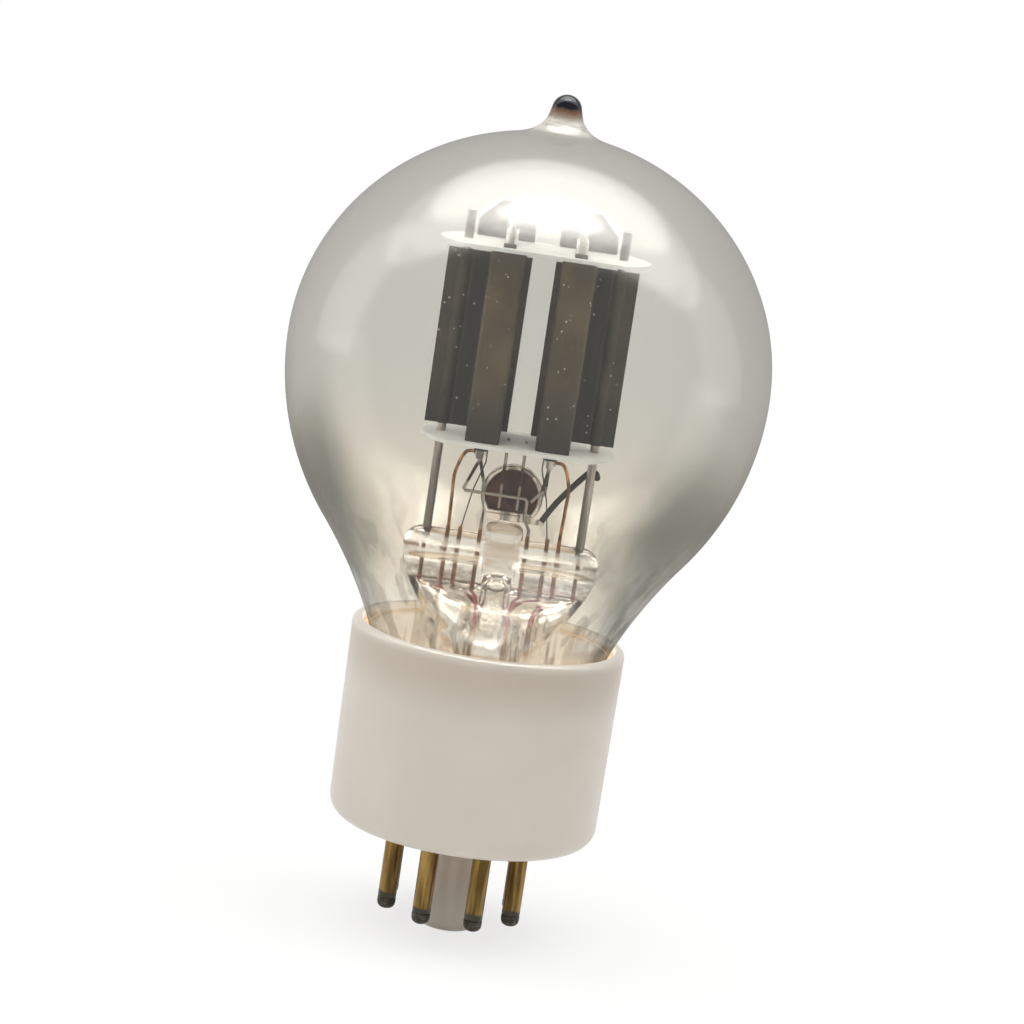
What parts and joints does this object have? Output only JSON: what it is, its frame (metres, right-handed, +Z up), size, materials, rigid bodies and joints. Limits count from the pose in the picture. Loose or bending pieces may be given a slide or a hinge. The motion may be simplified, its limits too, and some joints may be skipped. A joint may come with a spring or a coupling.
{
  "type": "vacuum tube",
  "caption": "Glass globe vacuum tube with its twin-triode cage, getter and glass stem, on a white ceramic octal base with brass pins and a keyed spigot",
  "frame": {"origin": "On the tube's axis, in the plane of the base's flat underside, where the pins leave the base.", "axes": "+Z runs up the tube's axis from the pins to the tip of the bulb. +X is across the flat press, along the row of leads. -Y is the side that the getter cup faces, and the key rib on the spigot is at +Y."},
  "size_m": [0.0614, 0.0614, 0.1083],
  "materials": {
    "ceramic": "satin",
    "cement": "matte",
    "solder": "dull",
    "bulb_glass": "polished",
    "stem_glass": "polished",
    "pin_brass": "worn",
    "lead_wire": "satin",
    "mica": "satin",
    "nickel": "satin",
    "carbonised_sheet": "matte",
    "cathode_coating": "matte",
    "heater_coating": "matte",
    "grid_copper": "satin",
    "dark_ribbon": "satin",
    "getter_powder": "matte",
    "heater_wire": "satin"
  },
  "bodies": {
    "root": {"base_shell": "ceramic", "base_cement": "cement", "solder_tips": "solder", "bulb": "bulb_glass", "stem": "stem_glass", "stem_tubulation": "stem_glass", "contact_pin_1": "pin_brass", "contact_pin_2": "pin_brass", "contact_pin_3": "pin_brass", "contact_pin_4": "pin_brass", "contact_pin_5": "pin_brass", "contact_pin_6": "pin_brass", "contact_pin_7": "pin_brass", "contact_pin_8": "pin_brass", "press_lead_1": "lead_wire", "press_lead_2": "lead_wire", "press_lead_3": "lead_wire", "press_lead_4": "lead_wire", "press_lead_5": "lead_wire", "press_lead_6": "lead_wire", "press_lead_7": "lead_wire", "press_lead_8": "lead_wire", "lower_mica": "mica", "upper_mica": "mica", "support_rod_left": "nickel", "support_rod_right": "nickel", "anode_left_front": "carbonised_sheet", "anode_left_rear": "carbonised_sheet", "anode_right_front": "carbonised_sheet", "anode_right_rear": "carbonised_sheet", "cathode_left": "cathode_coating", "cathode_right": "cathode_coating", "heater_left": "heater_coating", "heater_right": "heater_coating", "grid_rods_left": "grid_copper", "grid_rods_right": "grid_copper", "grid_winding_left": "grid_copper", "grid_winding_right": "grid_copper", "grid_fin_left": "carbonised_sheet", "grid_fin_right": "carbonised_sheet", "grid_link_left": "grid_copper", "grid_link_right": "grid_copper", "cathode_link_left": "dark_ribbon", "cathode_link_right": "dark_ribbon", "getter_post_left": "nickel", "getter_post_right": "nickel", "getter_cup": "nickel", "getter_fill": "getter_powder", "getter_strip": "nickel", "getter_strap": "dark_ribbon", "heater_bus_front": "heater_wire", "heater_bus_rear": "heater_wire", "heater_tail_left": "heater_wire", "heater_tail_right": "heater_wire"}
  },
  "joints": []
}
